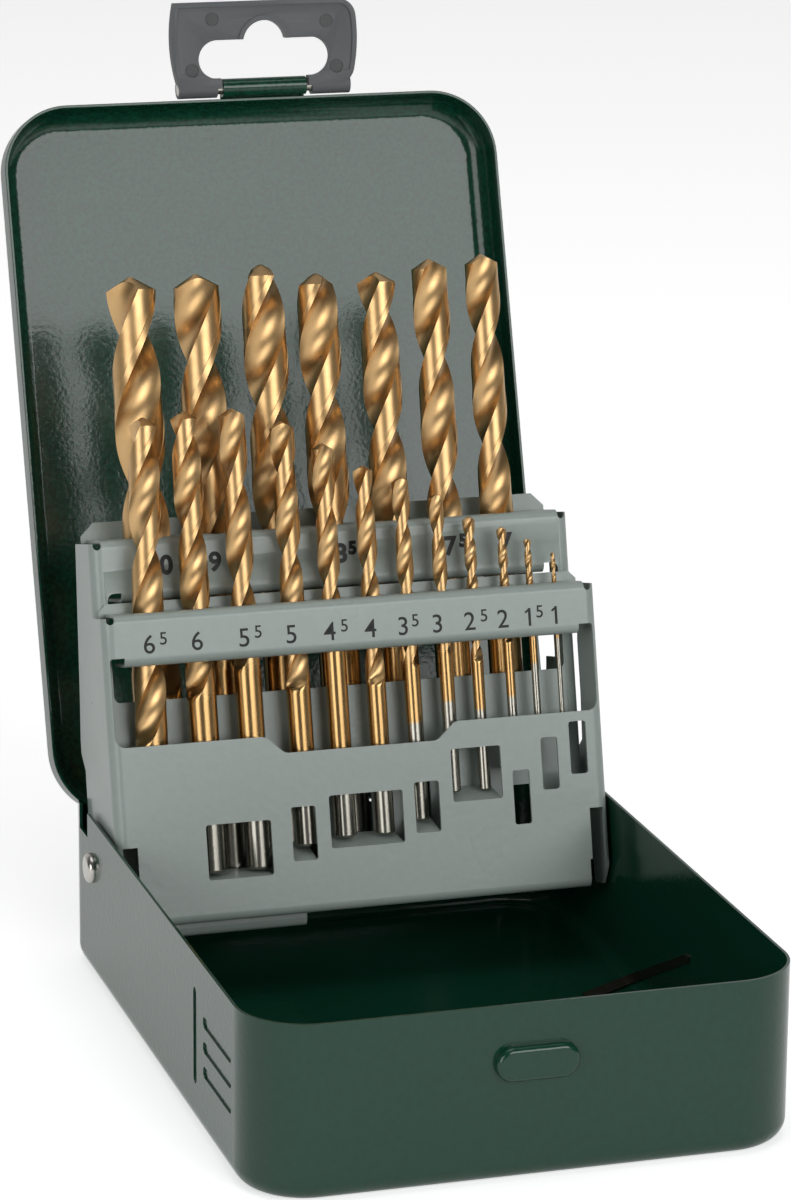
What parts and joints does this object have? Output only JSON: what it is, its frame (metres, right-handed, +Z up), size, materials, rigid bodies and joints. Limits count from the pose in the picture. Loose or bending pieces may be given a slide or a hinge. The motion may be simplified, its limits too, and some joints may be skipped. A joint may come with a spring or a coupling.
{
  "type": "drill bit case",
  "caption": "Hinged sheet-metal case with a tilting rack of graded twist drills and a hang tab that also latches the lid.",
  "frame": {"origin": "centre of the tray's underside", "axes": "+Z up, -Y towards the tray's front wall, +X to the right seen from the front"},
  "size_m": [0.109, 0.2068, 0.1879],
  "materials": {
    "green_enamel": "gloss",
    "grey_enamel": "satin",
    "bare_steel": "bright",
    "grey_plastic": "moulded",
    "coated_drill_steel": "gold hard coating",
    "spring_steel": "dark"
  },
  "bodies": {
    "tray": {"base_tray": "green_enamel", "hinge_pin": "bare_steel", "pivot_rivet_left": "bare_steel", "pivot_rivet_right": "bare_steel", "lift_strip": "spring_steel"},
    "lid": {"lid_shell": "green_enamel"},
    "holder": {"front_rack": "grey_enamel", "rear_rack": "grey_enamel"},
    "tab": {"hang_tab": "grey_plastic", "tab_pin": "bare_steel"},
    "drill_10_0": {"drill_10_0": "coated_drill_steel"},
    "drill_9_5": {"drill_9_5": "coated_drill_steel"},
    "drill_9_0": {"drill_9_0": "coated_drill_steel"},
    "drill_8_5": {"drill_8_5": "coated_drill_steel"},
    "drill_8_0": {"drill_8_0": "coated_drill_steel"},
    "drill_7_5": {"drill_7_5": "coated_drill_steel"},
    "drill_7_0": {"drill_7_0": "coated_drill_steel"},
    "drill_6_5": {"drill_6_5": "coated_drill_steel"},
    "drill_6_0": {"drill_6_0": "coated_drill_steel"},
    "drill_5_5": {"drill_5_5": "coated_drill_steel"},
    "drill_5_0": {"drill_5_0": "coated_drill_steel"},
    "drill_4_5": {"drill_4_5": "coated_drill_steel"},
    "drill_4_0": {"drill_4_0": "coated_drill_steel"},
    "drill_3_5": {"drill_3_5": "coated_drill_steel"},
    "drill_3_0": {"drill_3_0": "coated_drill_steel"},
    "drill_2_5": {"drill_2_5": "coated_drill_steel"},
    "drill_2_0": {"drill_2_0": "coated_drill_steel"},
    "drill_1_5": {"drill_1_5": "coated_drill_steel"},
    "drill_1_0": {"drill_1_0": "coated_drill_steel"}
  },
  "joints": [
    {"name": "lid_hinge", "type": "hinge", "parent": "tray", "child": "lid", "pos_m": [0, 0.07436, 0.0269], "axis": [-1, 0, 0], "range_deg": [-108.27, 0]},
    {"name": "holder_tilt", "type": "hinge", "parent": "tray", "child": "holder", "pos_m": [0, 0.0504, 0.024], "axis": [-1, 0, 0], "range_deg": [-104.05, 0]},
    {"name": "hang_tab_hinge", "type": "hinge", "parent": "lid", "child": "tab", "pos_m": [0.0032, 0.12422, 0.16962], "axis": [-1, 0, 0], "range_deg": [-77, 95]},
    {"name": "drill_10_0_pull", "type": "slide", "parent": "holder", "child": "drill_10_0", "axis": [0, 0.2426, 0.9701], "range_m": [0, 0.0813]},
    {"name": "drill_9_5_pull", "type": "slide", "parent": "holder", "child": "drill_9_5", "axis": [0, 0.2426, 0.9701], "range_m": [0, 0.0734]},
    {"name": "drill_9_0_pull", "type": "slide", "parent": "holder", "child": "drill_9_0", "axis": [0, 0.2426, 0.9701], "range_m": [0, 0.0721]},
    {"name": "drill_8_5_pull", "type": "slide", "parent": "holder", "child": "drill_8_5", "axis": [0, 0.2426, 0.9701], "range_m": [0, 0.0665]},
    {"name": "drill_8_0_pull", "type": "slide", "parent": "holder", "child": "drill_8_0", "axis": [0, 0.2426, 0.9701], "range_m": [0, 0.0669]},
    {"name": "drill_7_5_pull", "type": "slide", "parent": "holder", "child": "drill_7_5", "axis": [0, 0.2426, 0.9701], "range_m": [0, 0.0568]},
    {"name": "drill_7_0_pull", "type": "slide", "parent": "holder", "child": "drill_7_0", "axis": [0, 0.2426, 0.9701], "range_m": [0, 0.0564]},
    {"name": "drill_6_5_pull", "type": "slide", "parent": "holder", "child": "drill_6_5", "axis": [0.0366, 0.2425, 0.9695], "range_m": [0, 0.0631]},
    {"name": "drill_6_0_pull", "type": "slide", "parent": "holder", "child": "drill_6_0", "axis": [0, 0.2426, 0.9701], "range_m": [0, 0.0543]},
    {"name": "drill_5_5_pull", "type": "slide", "parent": "holder", "child": "drill_5_5", "axis": [0, 0.2426, 0.9701], "range_m": [0, 0.0543]},
    {"name": "drill_5_0_pull", "type": "slide", "parent": "holder", "child": "drill_5_0", "axis": [0, 0.2426, 0.9701], "range_m": [0, 0.0505]},
    {"name": "drill_4_5_pull", "type": "slide", "parent": "holder", "child": "drill_4_5", "axis": [0, 0.2426, 0.9701], "range_m": [0, 0.0495]},
    {"name": "drill_4_0_pull", "type": "slide", "parent": "holder", "child": "drill_4_0", "axis": [0, 0.2426, 0.9701], "range_m": [0, 0.0495]},
    {"name": "drill_3_5_pull", "type": "slide", "parent": "holder", "child": "drill_3_5", "axis": [0, 0.2426, 0.9701], "range_m": [0, 0.0473]},
    {"name": "drill_3_0_pull", "type": "slide", "parent": "holder", "child": "drill_3_0", "axis": [0, 0.2426, 0.9701], "range_m": [0, 0.0422]},
    {"name": "drill_2_5_pull", "type": "slide", "parent": "holder", "child": "drill_2_5", "axis": [0, 0.2426, 0.9701], "range_m": [0, 0.0423]},
    {"name": "drill_2_0_pull", "type": "slide", "parent": "holder", "child": "drill_2_0", "axis": [0, 0.2426, 0.9701], "range_m": [0, 0.0379]},
    {"name": "drill_1_5_pull", "type": "slide", "parent": "holder", "child": "drill_1_5", "axis": [0, 0.2426, 0.9701], "range_m": [0, 0.0317]},
    {"name": "drill_1_0_pull", "type": "slide", "parent": "holder", "child": "drill_1_0", "axis": [0, 0.2426, 0.9701], "range_m": [0, 0.0289]}
  ],
  "couplings": [
    {"joint": "holder_tilt", "follows": "lid_hinge", "ratio": 0.96095}
  ]
}
